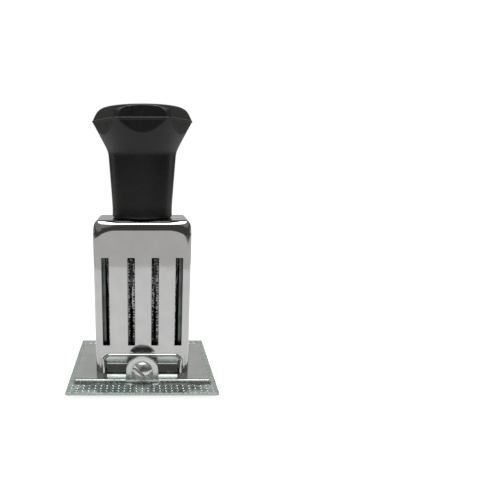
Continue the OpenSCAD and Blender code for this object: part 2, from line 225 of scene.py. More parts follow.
white = (1, 1, 1)
black = (0, 0, 0)
noiseScale = dict(clouds=140, gloss=260, wave=60, mouldClouds=120, mouldGloss=500, tints=90, specks=1000,
                  plateGloss=400, plateGrain=1100, cheekGrain=1100, studs=850, beltGloss=400, beltGrain=1400,
                  floor=3)
bumpDrop = dict(grain=0.0001, wave=0.001, plate=0.0003)  # metres
noiseReach = (0.3, 0.7)
dotSize = dict(pitch=2.33, radius=0.45, height=0.16, sink=0.04, edge=0.8, sides=10, rings=(1.0, 0.72, 0.4))


def newMaterial(name):
    # an empty material, its nodes and its shader
    mat = bpy.data.materials.new(name)
    mat.use_nodes = True
    tree = mat.node_tree
    return mat, tree, tree.nodes["Principled BSDF"]


def feed(tree, node, inputs):
    # each input by its name: joined to another node's output, or set to a plain value
    for name, value in inputs.items():
        if isinstance(value, bpy.types.NodeSocket):
            tree.links.new(value, node.inputs[name])
        else:
            node.inputs[name].default_value = value
    return node


def newNode(tree, kind, **inputs):
    # a node of a kind, fed at once
    return feed(tree, tree.nodes.new("ShaderNode" + kind), inputs)


def noise(tree, scale, detail=4.0, stretch=None):
    # cloudy values about a half, fixed to the object and stretched along its axes if asked
    coords = newNode(tree, "TexCoord").outputs["Object"]
    if stretch:
        coords = newNode(tree, "Mapping", Vector=coords, Scale=stretch).outputs["Vector"]
    return newNode(tree, "TexNoise", Vector=coords, Scale=scale, Detail=detail).outputs["Fac"]


def cellDistance(tree, scale, randomness, dimensions):
    # distance to the nearest point of a net, in parts of its pitch
    coords = newNode(tree, "TexCoord").outputs["Object"]
    net = newNode(tree, "TexVoronoi", Scale=scale, Randomness=randomness, Vector=coords)
    net.voronoi_dimensions = dimensions
    return net.outputs["Distance"]


def ramp(tree, source, stops):
    # a colour for each place from 0 to 1
    node = newNode(tree, "ValToRGB", Fac=source)
    marks = node.color_ramp.elements
    while len(marks) < len(stops):
        marks.new(0.5)
    for mark, (at, colour) in zip(marks, stops):
        mark.position = at
        mark.color = (*colour, 1)
    return node.outputs["Color"]


def mapped(tree, source, start, end, low, high):
    # a value from low to high as the source goes from start to end
    node = newNode(tree, "MapRange", Value=source)
    feed(tree, node, {"From Min": start, "From Max": end, "To Min": low, "To Max": high})
    return node.outputs["Result"]


def spread(tree, source, low, high):
    # the usual reach of a noise as a value from low to high
    return mapped(tree, source, *noiseReach, low, high)


def alongZ(tree, kind, start, end, low, high):
    # a value from low to high as the upright part of a coordinate goes from start to end
    axes = newNode(tree, "SeparateXYZ", Vector=newNode(tree, "TexCoord").outputs[kind])
    return mapped(tree, axes.outputs["Z"], start, end, low, high)


def bump(tree, source, strength, distance, below=None):
    # small relief from a height, over the relief below it
    node = newNode(tree, "Bump", Strength=strength, Distance=distance, Height=source)
    if below:
        feed(tree, node, {"Normal": below})
    return node.outputs["Normal"]


def multiply(tree, first, second, factor):
    # the first colour times the second, as far as the factor says
    node = newNode(tree, "Mix")
    node.data_type = "RGBA"
    node.blend_type = "MULTIPLY"
    return feed(tree, node, {"Factor": factor, "A": first, "B": second}).outputs["Result"]


def dress(tree, shader, colour, gloss, relief):
    # joins a finish's colour, gloss and relief to its shader
    feed(tree, shader, {"Base Color": colour, "Roughness": gloss, "Normal": relief})


def metal(name, dark, light, rough, grain=900, grainDepth=0.05, stretch=None, wave=0, dull=0,
          dullAbove=None):
    # plated or bare metal: clouded colour, uneven gloss, fine grain and a slow wave in the sheet;
    # dullAbove gives two heights, and how dull the metal has become at the upper one
    mat, tree, shader = newMaterial(name)
    feed(tree, shader, {"Metallic": 1.0 - dull})
    if dullAbove:
        start, end, most = dullAbove
        bare = alongZ(tree, "Object", start * mm, end * mm, 1.0 - dull, 1.0 - most)
        feed(tree, shader, {"Metallic": bare})
    colour = ramp(tree, noise(tree, noiseScale["clouds"]), [(0.35, dark), (0.65, light)])
    gloss = spread(tree, noise(tree, noiseScale["gloss"], 6), *rough)
    relief = bump(tree, noise(tree, grain, 3, stretch), grainDepth, bumpDrop["grain"])
    if wave:
        relief = bump(tree, noise(tree, noiseScale["wave"], 1), wave, bumpDrop["wave"], relief)
    dress(tree, shader, colour, gloss, relief)
    return mat


def moulded(name, dark, light, rough, grain, grainDepth, gloss):
    # moulded surface: faint clouds of colour, satin gloss and a fine grain
    mat, tree, shader = newMaterial(name)
    feed(tree, shader, {"Specular IOR Level": gloss})
    colour = ramp(tree, noise(tree, noiseScale["mouldClouds"], 5), [(0.3, dark), (0.7, light)])
    satin = spread(tree, noise(tree, noiseScale["mouldGloss"], 6), *rough)
    dress(tree, shader, colour, satin, bump(tree, noise(tree, grain, 3), grainDepth, bumpDrop["grain"]))
    return mat


def zincPlateMaterial():
    # bright zinc: thin interference tints and a net of punched dots, painted lighter on top as a painted
    # highlight and darker on the underside as painted shade in the pits
    mat, tree, shader = newMaterial("zincPlate")
    feed(tree, shader, {"Metallic": 0.92})
    tints = ramp(tree, noise(tree, noiseScale["tints"], 5), [
        (0.28, (0.72, 0.84, 0.79)), (0.42, (0.82, 0.90, 0.87)), (0.52, (0.87, 0.89, 0.90)),
        (0.62, (0.79, 0.89, 0.84)), (0.75, (0.87, 0.90, 0.83))])
    specks = ramp(tree, noise(tree, noiseScale["specks"], 2), [
        (0.38, (0.14, 0.26, 0.20)), (0.45, (0.7, 0.78, 0.74)), (0.52, white)])
    colour = multiply(tree, tints, specks, alongZ(tree, "Normal", -0.5, 0.5, 0.12, 0.4))
    near = cellDistance(tree, 1 / (dotSize["pitch"] * mm), 0.0, "2D")
    # painted highlight: the dot middles on top are lighter than the zinc round them
    paintedDotHighlight = ramp(tree, near, [(0.16, white), (0.24, (0.84, 0.89, 0.87))])
    colour = multiply(tree, colour, paintedDotHighlight, alongZ(tree, "Normal", 0.2, 0.6, 0, 1))
    # painted shade: the dots on the underside are darker, as shade in the pits
    paintedPitShade = ramp(tree, near, [(0.09, (0.55, 0.59, 0.57)), (0.2, white)])
    colour = multiply(tree, colour, paintedPitShade, alongZ(tree, "Normal", -0.6, -0.2, 1, 0))
    # painted shade: the plate's upright edge faces are greyer than its top and underside
    paintedEdgeShade = (0.50, 0.54, 0.52)
    edges = ramp(tree, alongZ(tree, "Normal", -1, 1, 0, 1), [
        (0.2, white), (0.35, paintedEdgeShade), (0.7, paintedEdgeShade), (0.85, white)])
    gloss = spread(tree, noise(tree, noiseScale["plateGloss"], 5), 0.14, 0.24)
    relief = bump(tree, noise(tree, noiseScale["plateGrain"], 1), 0.3, bumpDrop["plate"])
    dress(tree, shader, multiply(tree, colour, edges, 1.0), gloss, relief)
    return mat


def cheekMaterial():
    # dull steel with painted light and shade: lighter at the lower ends that show beside the type, darker
    # higher up inside the shell
    mat, tree, shader = newMaterial("cheekSteel")
    feed(tree, shader, {"Metallic": 1.0})
    # painted light at the lower ends, painted shade above them
    ends = ramp(tree, alongZ(tree, "Object", 5 * mm, 9 * mm, 0, 1), [
        (0, (0.72, 0.74, 0.73)), (1, (0.20, 0.23, 0.21))])
    clouds = ramp(tree, noise(tree, noiseScale["clouds"]), [(0.35, (0.55, 0.55, 0.55)), (0.65, white)])
    gloss = spread(tree, noise(tree, noiseScale["gloss"], 6), 0.3, 0.45)
    relief = bump(tree, noise(tree, noiseScale["cheekGrain"], 3), 0.05, bumpDrop["grain"])
    dress(tree, shader, multiply(tree, ends, clouds, 0.9), gloss, relief)
    return mat


def beltMaterial():
    # dark rubber set with small bright studs
    mat, tree, shader = newMaterial("beltRubber")
    near = cellDistance(tree, noiseScale["studs"], 0.4, "3D")
    stud, rubber = 0.35, 0.44
    colour = ramp(tree, near, [(stud, (0.68, 0.70, 0.68)), (rubber, (0.012, 0.012, 0.012))])
    feed(tree, shader, {"Metallic": ramp(tree, near, [(stud, white), (rubber, black)])})
    gloss = spread(tree, noise(tree, noiseScale["beltGloss"], 5), 0.35, 0.6)
    relief = bump(tree, noise(tree, noiseScale["beltGrain"], 3), 0.4, bumpDrop["grain"])
    dress(tree, shader, colour, gloss, relief)
    return mat


zincPlate = zincPlateMaterial()
chromeShell = metal("chromeShell", (0.52, 0.52, 0.515), (0.56, 0.56, 0.555), (0.03, 0.06), 1500, 0.03,
                    wave=0.01)
zincSheet = metal("zincSheet", (0.62, 0.66, 0.64), (0.72, 0.75, 0.73), (0.17, 0.23), 1200,
                  dull=0.1, dullAbove=(5, 8, 0.35))
screwNickel = metal("screwNickel", (0.66, 0.67, 0.64), (0.80, 0.80, 0.77), (0.20, 0.28), 900, dull=0.05)
frameSteel = metal("frameSteel", (0.53, 0.58, 0.55), (0.63, 0.67, 0.64), (0.14, 0.20), 1100)
cheekSteel = cheekMaterial()
turnedSteel = metal("turnedSteel", (0.48, 0.49, 0.50), (0.58, 0.59, 0.60), (0.25, 0.35), 1400,
                    stretch=(8, 1, 1))
springSteel = metal("springSteel", (0.06, 0.06, 0.065), (0.10, 0.10, 0.11), (0.35, 0.5), 1000)
anvilZinc = metal("anvilZinc", (0.32, 0.33, 0.34), (0.42, 0.43, 0.44), (0.4, 0.55), 800, 0.1)
discSteel = metal("discSteel", (0.15, 0.15, 0.16), (0.26, 0.26, 0.27), (0.3, 0.45), 1200)
typeMetal = metal("typeMetal", (0.50, 0.51, 0.52), (0.68, 0.69, 0.70), (0.28, 0.42), 1300, 0.1)
insertBrass = metal("insertBrass", (0.5, 0.35, 0.12), (0.62, 0.45, 0.18), (0.25, 0.35), 1200)
handleBlack = moulded("handleBlack", (0.006, 0.006, 0.006), (0.009, 0.009, 0.009), (0.26, 0.34),
                      1800, 0.12, 0.35)
rollerPlastic = moulded("rollerPlastic", (0.020, 0.018, 0.017), (0.03, 0.028, 0.026), (0.45, 0.6),
                        900, 0.2, 0.4)
beltRubber = beltMaterial()
print("materials made:", len(bpy.data.materials))


# die plate, saddle plate and lugs

plateSize = dict(half=30.0, corner=0.3, low=1.5, thick=1.2, windowHalfX=16.8, windowHalfY=6.3,
                 windowCorner=1.0, dimpleR=1.6, dimpleDepth=0.3, dimpleRings=(1.0, 0.8, 0.55, 0.25),
                 dimpleSides=20, ease=0.15)
saddleSize = dict(halfX=28.0, halfY=21.0, corner=1.0, top=4.2, thick=1.5, windowHalfX=17.3, windowHalfY=8.0,
                  windowCorner=2.0, ease=0.85, easeUnder=0.06, lugEase=0.35, lugHalf=6.6, crownSteps=49,
                  screwZ=7.6, footZ=4.5, footLow=2.8, footOut=0.32, footPower=1.5, footRows=8, proud=0.03,
                  hole=2.2, holeSides=32)
dimplePlaces = [(-15, -18.5), (15, -18.5), (0, -12), (0, 12), (-15, 18.5), (15, 18.5)]


def makeDots(top):
    # low round pimples on a square net, wherever the saddle leaves the plate's top open
    s = dotSize
    sides, rings = s["sides"], np.array(s["rings"])[:, None]
    reach = plateSize["half"] - s["edge"]
    count = math.ceil(reach / s["pitch"])
    line = np.arange(-count, count + 1) * s["pitch"]
    x, y = (a.ravel() for a in np.meshgrid(line, line))
    clear = np.maximum(np.abs(x) - saddleSize["halfX"], np.abs(y) - saddleSize["halfY"]) > s["edge"]
    kept = clear & (np.abs(x) < reach) & (np.abs(y) < reach)
    middles = np.stack([x[kept], y[kept], np.full(kept.sum(), top)], -1)
    ball = (s["radius"] ** 2 + s["height"] ** 2) / (2 * s["height"])
    lean = np.arcsin(s["radius"] / ball) * rings
    turn = np.arange(sides) * 2 * math.pi / sides
    out = np.stack([np.sin(lean) * np.cos(turn), np.sin(lean) * np.sin(turn), np.cos(lean) + 0 * turn], -1)
    out = np.concatenate([out.reshape(-1, 3), [(0, 0, 1)]])
    dome = out * ball + [0, 0, s["height"] - ball]
    dome[:sides, 2] = -s["sink"]
    foot = np.arange(sides)
    inner = foot + (len(rings) - 1) * sides
    cap = np.stack([inner, np.roll(inner, -1), np.full(sides, len(dome) - 1)], -1)
    starts = np.arange(len(middles))[:, None, None] * len(dome)
    faces = []
    for some in (gridFaces(len(rings), sides), cap, foot[None, ::-1]):
        faces += (starts + some).reshape(-1, some.shape[1]).tolist()
    return (middles[:, None] + dome).reshape(-1, 3), faces, np.tile(out, (len(middles), 1))


def makeDiePlate():
    # the underside is the surface: level, with a ball-shaped dent at each weld
    s = plateSize
    ballLow = s["dimpleR"] - s["dimpleDepth"]
    dentR = math.sqrt(s["dimpleR"] ** 2 - ballLow ** 2)

    def underside(u, v):
        # the level, raised by each ball where the ball is above it
        z = np.full(np.shape(u), s["low"])
        for x, y in dimplePlaces:
            r = np.hypot(u - x, v - y)
            z = z + np.maximum(np.sqrt(np.maximum(s["dimpleR"] ** 2 - r ** 2, 0)) - ballLow, 0)
        return np.stack([u, -v, z], -1)

    dents = [circlePath(x, y, dentR * k, s["dimpleSides"]) for x, y in dimplePlaces for k in s["dimpleRings"]]
    blank = windowBlank(s, boxPath(0, 0, s["half"], s["half"], s["corner"]), dents)
    points, faces, normals = bentSheet(*blank, underside, s["thick"], s["ease"])
    dots, dotFaces, dotNormals = makeDots(s["low"] + s["thick"])
    points, faces = joined((points, faces), (dots, dotFaces))
    normals = np.concatenate([normals, dotNormals])
    return place(meshObject("die_plate_sheet", points, faces, zincPlate, normals=normals),
                 "stamp_body", "zinc_plate", "die_plate")


def makeSaddle():
    # a level sheet with a window, and at its front and rear an upright lug: a half round on a straight shank
    s = saddleSize
    blank = windowBlank(s, boxPath(0, 0, s["halfX"], s["halfY"], s["corner"]), [])

    def levelTop(u, v):
        # one height all over
        return np.stack([u, v, 0 * u + s["top"]], -1)

    level = bentSheet(*blank, levelTop, s["thick"], s["ease"], s["easeUnder"])
    half, low = s["lugHalf"], s["footLow"]
    a = np.linspace(0, math.pi, s["crownSteps"])
    crown = np.stack([half * np.cos(a), s["screwZ"] + half * np.sin(a)], -1)
    outline = np.concatenate([[(half, low)], crown, [(-half, low)]])
    rows = [straight(-half, v, half, v) for v in np.linspace(low, s["footZ"], s["footRows"])[1:]]
    blank = drilledBlank(outline, rows, s["screwZ"], s["hole"], s["holeSides"])

    def lugFace(u, v):
        # upright, with the foot swept forward as a power of the drop
        sweep = s["footOut"] * (np.maximum(s["footZ"] - v, 0) / (s["footZ"] - low)) ** s["footPower"]
        return np.stack([u, -s["halfY"] - s["proud"] - sweep, v], -1)

    front = bentSheet(*blank, lugFace, s["thick"], s["lugEase"])
    rear = (front[0] * [-1, -1, 1], front[1], front[2] * [-1, -1, 1])
    points, faces = joined(level[:2], front[:2], rear[:2])
    normals = np.concatenate([level[2], front[2], rear[2]])
    return place(meshObject("saddle_plate_sheet", points, faces, zincSheet, normals=normals),
                 "stamp_body", "zinc_sheet", "saddle_plate")


diePlate = makeDiePlate()
saddlePlate = makeSaddle()
print("plates:", len(diePlate.data.polygons), len(saddlePlate.data.polygons), "faces")


# lug screws

screwSize = dict(headR=4.4, headH=2.9, edge=0.5, edgeLow=0.7, sides=64, slotHalf=0.6, slotFloor=0.7,
                 rings=(0, 0.03, 0.12, 0.3, 0.7, 1.3, 2.0, 2.8, 3.6), slotLines=(0, -0.05, 0.06),
                 slotEnd=0.15, lip=0.05, turn=-40.0, z=7.6, face=21.03, shankR=2.0, shankEnd=14.4,
                 shankSides=32, shankGap=0.01, sharp=28)


def makeScrews():
    # the head is a dome over its disc, with a level-floored slot across it
    s = screwSize
    near = 0.001
    rise = s["headH"] - s["edge"]
    ball = (s["headR"] ** 2 + rise ** 2) / (2 * rise)
    turn = math.radians(s["turn"])
    along = np.array([math.cos(turn), math.sin(turn)])
    across = np.array([-math.sin(turn), math.cos(turn)])
    rings = [s["headR"] - d for d in s["rings"]]
    loops = [circlePath(0, 0, r, s["sides"]) for r in rings]
    end = (s["headR"] - s["slotEnd"]) * along
    offsets = [sign * (s["slotHalf"] + d) * across for d in s["slotLines"] for sign in (-1, 1)]
    flat, tris = cutBlank(loops, [np.array([q - end, q + end]) for q in offsets],
                          lambda u, v: np.hypot(u, v) < s["headR"])
    r = np.hypot(flat[:, 0], flat[:, 1])
    q = np.abs(flat @ across)
    dome = s["headH"] - ball + np.sqrt(np.maximum(ball ** 2 - r ** 2, 0))
    dome = np.where(r > rings[1] - near, s["edge"] * s["edgeLow"], dome)
    dome = np.where(r > rings[0] - near, 0, dome)
    dome = dome - s["lip"] * (np.abs(q - s["slotHalf"]) < 10 * near)
    high = np.where(q < s["slotHalf"] - 20 * near, np.minimum(dome, s["slotFloor"]), dome)
    head = np.stack([flat[:, 0], -s["face"] - high, s["z"] + flat[:, 1]], -1)
    edge = np.where(r > s["headR"] - near)[0]
    under = edge[np.argsort(-np.arctan2(flat[edge, 1], flat[edge, 0]))]
    sides = s["shankSides"]
    ring = circlePath(0, s["z"], s["shankR"], sides)
    y = np.array([-s["face"] + s["shankGap"], -s["shankEnd"]])[:, None]
    shank = np.stack([ring[:, 0] + 0 * y, y + 0 * ring[:, 0], ring[:, 1] + 0 * y], -1)
    ends = [list(range(sides)), list(range(2 * sides - 1, sides - 1, -1))]
    front = joined((head, tris.tolist() + [under.tolist()]),
                   (shank, gridFaces(2, sides)[:, ::-1].tolist() + ends))
    rear = (front[0] * [-1, -1, 1], front[1])
    return place(meshObject("lug_screw_pair", *joined(front, rear), screwNickel, s["sharp"]),
                 "stamp_body", "screw_nickel", "lug_screws")


screws = makeScrews()
print("screws:", len(screws.data.polygons), "faces")


# straps of the frame, behind the openings at the shell's foot

strapSize = dict(halfX=14.9, tenonX=16.4, tenonHalf=1.8, low=8.0, high=14.0, face=12.9, thick=1.0,
                 tabHalf=6.0, tabLow=4.5, tabRoom=0.1, holeZ=7.6, hole=2.52, holeSides=24, apronIn=6.3,
                 apronOut=14.8, apronLow=4.3, lean=29.0, bend=0.8, bendRows=(0, 0.2, 0.4, 0.6, 0.8),
                 ease=0.12)


def makeStrap(name, node, turned):
    # an upright strip with a tab for the screw, and on either side of it an apron that leans out to the
    # saddle plate
    s = strapSize
    low, high, halfX, tenonX = s["low"], s["high"], s["halfX"], s["tenonX"]
    tenonLow, tenonHigh = (low + high) / 2 - s["tenonHalf"], (low + high) / 2 + s["tenonHalf"]
    right = np.array([
        (s["tabHalf"], s["tabLow"]), (s["tabHalf"], low), (s["apronIn"], low), (s["apronIn"], s["apronLow"]),
        (s["apronOut"], s["apronLow"]), (s["apronOut"], low), (halfX, low), (halfX, tenonLow),
        (tenonX, tenonLow), (tenonX, tenonHigh), (halfX, tenonHigh), (halfX, high)])
    outline = np.concatenate([right, (right * [-1, 1])[::-1]])
    lines = [straight(sign * s["apronIn"], low - d, sign * s["apronOut"], low - d)
             for sign in (-1, 1) for d in s["bendRows"]]
    blank = drilledBlank(outline, lines, s["holeZ"], s["hole"], s["holeSides"])
    lean = math.radians(s["lean"])
    radius = s["bend"] / lean

    def face(u, v):
        # upright, and beside the tab turned out along a short arc and then on along its slope
        down = np.where(np.abs(u) > s["tabHalf"] + s["tabRoom"], np.maximum(low - v, 0), 0)
        turn = lean * np.minimum(down / s["bend"], 1)
        past = np.maximum(down - s["bend"], 0)
        out = radius * (1 - np.cos(turn)) + past * math.sin(lean)
        drop = radius * np.sin(turn) + past * math.cos(lean)
        return np.stack([u, -s["face"] - out, v + down - drop], -1)

    points, faces, normals = bentSheet(*blank, face, s["thick"], s["ease"])
    if turned:
        points, normals = points * [-1, -1, 1], normals * [-1, -1, 1]
    return place(meshObject(name, points, faces, frameSteel, normals=normals),
                 "stamp_body", "frame_steel", node)


frontStrap = makeStrap("front_strap_sheet", "front_strap", False)
rearStrap = makeStrap("rear_strap_sheet", "rear_strap", True)
print("straps:", len(frontStrap.data.polygons), len(rearStrap.data.polygons), "faces")


# shell

shellSize = dict(halfW=19.5, halfD=14.0, low=4.2, top=67.3, sheet=0.9, edge=3.8, crown=3.0, shoulder=7.4,
                 fullness=1.0, corner=3.4, droop=10.5, straight=59.3, roof=8.0, seamGap=0.05, hole=7.0,
                 ease=0.1, roundLines=13, frontLines=25, lineGap=0.14)
slotSize = dict(places=(-14.7, -4.375, 5.175, 14.7), half=1.45, low=16.3, high=52.8, corner=0.25)
footSize = dict(half=15.4, top=11.4, corner=2.2, rimWidth=1.4, rimSlope=0.6, rimOut=0.5, rimDrop=0.45,
                flareTop=9.8, flare=0.55, rimLines=(0, 0.25, 0.5, 0.7, 0.9, 1.0, 1.1, 1.2, 1.3, 1.4, 1.5))
stepSize = dict(half=18.0, top=13.3, corner=1.0, out=0.08, soft=0.35, softLines=(-1, -0.5, 0, 0.5, 1))
archSize = dict(below=40, footBelow=1, cornerSteps=9, shankSteps=7, topSteps=25)
tabSize = dict(places=(35.0, 57.0), half=2.0, reach=2.0, room=0.25)

flatHalf = shellSize["halfW"] - shellSize["edge"]
sideBase = shellSize["halfD"] - shellSize["edge"]
cornerRun = shellSize["edge"] * math.pi / 2
wallTop = shellSize["top"] - shellSize["edge"]
roundTop = wallTop + shellSize["edge"] * math.pi / 2
blankTop = roundTop + shellSize["roof"]
seamU = flatHalf + cornerRun + sideBase - shellSize["seamGap"]


def eased(t):
    # a soft step from 0 to 1
    t = np.clip(t, 0, 1)
    return t * t * (3 - 2 * t)


def archDistance(u, v, size):
    # distance outside an upright arch that is open below
    below = archSize["below"]
    return boxDistance(u, v, 0, -below, size["half"], size["top"] + below, size["corner"])


def archPath(size, grow):
    # the arch's outline grown by an amount, from its right foot over the top to its left foot
    half, top, r = size["half"] + grow, size["top"] + grow, size["corner"] + grow
    foot, steps, wide = shellSize["low"] - archSize["footBelow"], archSize["shankSteps"], archSize["topSteps"]
    a = np.linspace(0, math.pi / 2, archSize["cornerSteps"])
    corner = np.stack([half - r + r * np.cos(a), top - r + r * np.sin(a)], -1)
    shank = np.stack([np.full(steps, half), np.linspace(foot, top - r, steps)], -1)[:-1]
    level = np.stack([np.linspace(half - r, r - half, wide), np.full(wide, top)], -1)[1:-1]
    right = np.concatenate([shank, corner])
    return np.concatenate([right, level, (right * [-1, 1])[::-1]])


def shellSheet(u, v):
    # the blank bent to shape: u runs round the plan, v up the wall, over the top edge and along the roof;
    # the round of the top edge is a circle in front that grows taller towards the corners, and at the sides
    # a taller, squarer curve
    s = shellSize
    au = np.abs(u)
    turn = np.clip((au - flatHalf) / cornerRun, 0, 1) * math.pi / 2
    c, k = np.sin(turn), np.cos(turn)
    droop = np.clip((au - s["droop"]) / (flatHalf + cornerRun / 2 - s["droop"]), 0, 1) ** 2
    topR = partWay(s["edge"], s["shoulder"], c ** 2) + s["corner"] * droop * k ** 2
    bend = np.clip((v - wallTop) / (roundTop - wallTop), 0, 1) * math.pi / 2
    power = 2 / (2 + s["fullness"] * c ** 2)
    keep = np.where(v < roundTop - 1e-6, np.cos(bend) ** power, 0)
    climb = np.sin(bend) ** power
    centre = s["halfW"] - s["crown"] * (1 - keep) - s["edge"] * keep
    x = np.minimum(au, flatHalf) * centre / flatHalf + keep * s["edge"] * c
    y = sideBase - np.maximum(au - flatHalf - cornerRun, 0) + keep * s["edge"] * k
    wall = np.minimum(v, wallTop)
    sunk = np.maximum(wall - s["straight"], 0) / (wallTop - s["straight"])
    z = wall - (topR - s["edge"]) * sunk + topR * climb
    # the foot of the wall steps out and flares in front, and a turned-out rim runs along the opening
    f = footSize
    d = archDistance(u, v, f)
    lip = np.clip(1 - d / (f["rimWidth"] - f["rimSlope"]), 0, 1)
    rim = f["rimOut"] * eased((f["rimWidth"] - d) / f["rimSlope"]) * (1 - f["rimDrop"] * lip ** 2)
    out = stepSize["out"] * eased(0.5 - archDistance(u, v, stepSize) / (2 * stepSize["soft"])) + rim
    x = x + out * c
    flare = f["flare"] * (np.maximum(f["flareTop"] - v, 0) / (f["flareTop"] - s["low"])) ** 2
    y = y + out * k + flare * k ** 2
    inward = np.clip((v - roundTop) / s["roof"], 0, 1)
    pull = (1 - inward) + inward * s["hole"] / np.maximum(np.hypot(x, y), 0.01)
    return np.stack([np.sign(u) * x * pull, -y * pull, z], -1)


def shellHalf(name, node, front):
    # the blank with its openings and the lines that it bends along, bent; the rear half is mirrored
    s, t, f = shellSize, tabSize, slotSize
    low, room = s["low"], t["room"] if front else 0
    depth, tabHalf = t["reach"] + room, t["half"] + room
    reach = seamU if front else seamU + t["reach"] + 2 * s["seamGap"]
    loops = [sharpBox(-reach, low, reach, blankTop)]
    lines = [archPath(footSize, grow) for grow in footSize["rimLines"]]
    lines += [archPath(stepSize, stepSize["soft"] * k) for k in stepSize["softLines"]]
    share = np.linspace(0, 1, s["roundLines"])
    uprights = flatHalf + cornerRun * share
    uprights = uprights[np.abs(uprights - f["places"][-1] - f["half"]) > s["lineGap"]]
    for sign in (-1, 1):
        lines += [straight(sign * u, low, sign * u, blankTop) for u in (*uprights, seamU)]
        for z in t["places"]:
            near, far = (seamU - depth, seamU) if front else (seamU, reach)
            u0, u1 = sorted((sign * near, sign * far))
            loops.append(sharpBox(u0, z - tabHalf, u1, z + tabHalf))
    lines += [straight(-reach, v, reach, v) for v in wallTop + (roundTop - wallTop) * share]
    lines += [straight(u, wallTop, u, blankTop)
              for u in np.linspace(-flatHalf, flatHalf, s["frontLines"])[1:-1]]
    slots = [dict(cu=x, cv=(f["low"] + f["high"]) / 2, halfU=f["half"], halfV=(f["high"] - f["low"]) / 2,
                  r=f["corner"]) for x in f["places"] if front]
    loops += [boxPath(**slot) for slot in slots]

    def keep(u, v):
        # sheet that is in no opening: the front half has notches at the seam, the rear half tabs
        inTab = np.zeros(len(u), bool)
        for z in t["places"]:
            inTab |= np.abs(v - z) < tabHalf
        kept = (archDistance(u, v, footSize) > 0) & (v > low) & (v < blankTop)
        if front:
            kept &= (np.abs(u) < seamU) & ~(inTab & (np.abs(u) > seamU - depth))
        else:
            kept &= (np.abs(u) < seamU) | (inTab & (np.abs(u) < reach))
        for slot in slots:
            kept &= boxDistance(u, v, **slot) > 0
        return kept

    points, faces, normals = bentSheet(*cutBlank(loops, lines, keep), shellSheet, s["sheet"], s["ease"])
    if not front:
        points, normals = points * [1, -1, 1], normals * [1, -1, 1]
        faces = [f[::-1] for f in faces]
    return place(meshObject(name, points, faces, chromeShell, normals=normals),
                 "stamp_body", "chrome_shell", node)


frontShell = shellHalf("front_shell_sheet", "front_shell", True)
rearShell = shellHalf("rear_shell_sheet", "rear_shell", False)
print("shell halves:", len(frontShell.data.polygons), len(rearShell.data.polygons), "faces")


# handle

handleSize = dict(footZ=67.3, footR=12.2, footRound=1.0, waistR=12.15, waistZ=71.3, neckR=13.4, neckZ=91.3,
                  neckPower=1.15, cornerR=19.6, rimZ=104.4, domeH=5.6, flareStart=0.12, flareSoft=0.12,
                  domePower=5.4, domeLean=0.149, domeFrom=0.01, domeTurn=0.75, pole=0.00001, flats=6,
                  cornerRound=0.3, tiltLow=5.0, tiltHigh=20.0, bore=5.02, boreTop=82.3, boreMiddle=0.001,
                  ease=0.12, seam=0.16, seamWide=0.3, sharp=50)
handleSteps = dict(round=384, heel=8, foot=9, neck=16, flare=70, domeSide=34, domeTop=36)


def handleProfile():
    # half outline: the bore, the foot, the neck, the flare, then a dome of power p that leans in as it rises
    h, steps = handleSize, handleSteps

    def hinge(t):
        # nought and then a slope, with the corner between them softened
        return (t - h["flareStart"] + np.hypot(t - h["flareStart"], h["flareSoft"])) / 2

    t = np.linspace(0, 1, steps["flare"])[:-1]
    swell = (hinge(t) - hinge(0)) / (hinge(1) - hinge(0))
    flare = np.stack([partWay(h["neckR"], h["cornerR"], swell), partWay(h["neckZ"], h["rimZ"], t)], -1)
    p = h["domePower"]
    rise = np.linspace(h["domeFrom"], h["domeTurn"], steps["domeSide"])
    reach = (1 - rise ** p) ** (1 / p)
    inner = np.linspace(reach[-1], h["pole"], steps["domeTop"])[1:]
    rise = np.concatenate([rise, (1 - inner ** p) ** (1 / p)])
    reach = np.concatenate([reach, inner])
    dome = np.stack([h["cornerR"] * reach * (1 - h["domeLean"] * rise), h["rimZ"] + h["domeH"] * rise], -1)
    n = np.linspace(0, 1, steps["neck"])[:-1]
    neck = np.stack([partWay(h["waistR"], h["neckR"], n ** h["neckPower"]),
                     partWay(h["waistZ"], h["neckZ"], n)], -1)
    f = np.linspace(0, 1, steps["foot"])[:-1]
    foot = np.stack([partWay(h["waistR"], h["footR"], (1 - f) ** 2),
                     partWay(h["footZ"] + h["footRound"], h["waistZ"], f)], -1)
    a = np.linspace(0, math.pi / 2, steps["heel"])[:-1]
    heel = np.stack([h["footR"] - h["footRound"] * (1 - np.sin(a)),
                     h["footZ"] + h["footRound"] * (1 - np.cos(a))], -1)
    under = np.array([(h["boreMiddle"], h["boreTop"]), (h["bore"], h["boreTop"]), (h["bore"], h["footZ"])])
    return np.concatenate([under, heel, foot, neck, flare, dome])


def softMin(a, b, k):
    # the smaller of two, with the crease between them rounded over k
    h = np.clip(k - np.abs(a - b), 0, k) / k
    return np.minimum(a, b) - h * h * k / 4


